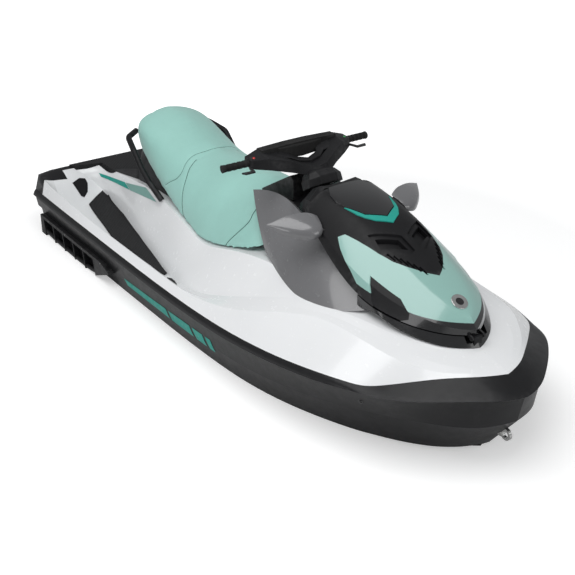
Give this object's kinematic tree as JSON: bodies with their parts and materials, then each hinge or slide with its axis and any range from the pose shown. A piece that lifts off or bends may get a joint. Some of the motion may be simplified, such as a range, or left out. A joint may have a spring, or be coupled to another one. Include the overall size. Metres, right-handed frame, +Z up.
{
  "type": "personal watercraft",
  "caption": "Seated jet-driven personal watercraft with hinged hood over a storage bin, tilted handlebar, footwells, sponsons and a jet pump with steering nozzle and reverse bucket.",
  "frame": {"origin": "on the waterline, on the centreline at mid-length", "axes": "+X towards the bow, +Y towards port, +Z up from the water"},
  "size_m": [3.32, 1.248, 1.138],
  "materials": {
    "white_gelcoat": "gloss",
    "mint_gelcoat": "gloss",
    "mint_vinyl": "satin",
    "grey_gelcoat": "gloss",
    "black_hull": "gloss",
    "black_plastic": "matte",
    "black_gloss": "gloss",
    "black_rubber": "matte",
    "foam_mat": "matte",
    "mirror_glass": "polished",
    "cast_aluminium": "cast",
    "stainless": "brushed",
    "engine_metal": "cast",
    "dark_insert": "satin"
  },
  "bodies": {
    "hull_body": {"hull": "black_hull", "engine": "engine_metal", "deck": "white_gelcoat", "storage_bin": "black_plastic", "bow_bumper": "black_plastic", "rub_rail_port": "black_rubber", "rub_rail_starboard": "black_rubber", "seat": "mint_vinyl", "seat_base_trim": "black_plastic", "side_panel_port": "grey_gelcoat", "side_panel_starboard": "grey_gelcoat", "dash": "dark_insert", "nose_trim": "black_gloss", "hood_hinge": "stainless", "display_pod": "black_gloss", "steering_boot": "black_rubber", "footwell_mat_port": "foam_mat", "footwell_mat_starboard": "foam_mat", "platform_mat": "foam_mat", "grab_handle_port": "black_rubber", "grab_handle_starboard": "black_rubber", "sponson_port": "black_plastic", "sponson_starboard": "black_plastic", "bow_eye": "stainless", "stern_eyes": "stainless", "pump_housing": "cast_aluminium", "ride_plate": "cast_aluminium", "intake_grate": "cast_aluminium"},
    "lid_body": {"hood_lid": "mint_gelcoat", "hood_centre": "dark_insert", "side_vents": "black_gloss", "hood_panel": "dark_insert", "chevron_trim": "mint_gelcoat", "mirror_shells": "grey_gelcoat", "mirror_arms": "black_plastic", "mirror_glasses": "mirror_glass"},
    "handlebar_body": {"handlebar": "black_plastic", "bar_pad": "black_rubber", "grips": "black_rubber", "levers": "black_plastic"},
    "impeller_body": {"impeller": "stainless"},
    "nozzle_body": {"steering_nozzle": "cast_aluminium"},
    "bucket_body": {"reverse_bucket": "black_plastic"}
  },
  "joints": [
    {"name": "lid_hinge", "type": "hinge", "parent": "hull_body", "child": "lid_body", "pos_m": [1.369, 0, 0.48], "axis": [0, 1, 0], "range_deg": [0, 50]},
    {"name": "steering", "type": "hinge", "parent": "hull_body", "child": "handlebar_body", "pos_m": [0.286, 0, 0.795], "axis": [-0.5299, 0, 0.848], "range_deg": [-25, 25]},
    {"name": "nozzle_steer", "type": "hinge", "parent": "hull_body", "child": "nozzle_body", "pos_m": [-1.499, 0, -0.055], "axis": [0, 0, 1], "range_deg": [-20, 20]},
    {"name": "reverse_gate", "type": "hinge", "parent": "nozzle_body", "child": "bucket_body", "pos_m": [-1.519, 0, -0.055], "axis": [0, -1, 0], "range_deg": [0, 75]},
    {"name": "impeller_spin", "type": "hinge", "parent": "hull_body", "child": "impeller_body", "pos_m": [-1.299, 0, -0.055], "axis": [1, 0, 0], "continuous": true}
  ],
  "couplings": [
    {"joint": "nozzle_steer", "follows": "steering", "ratio": -0.8}
  ]
}
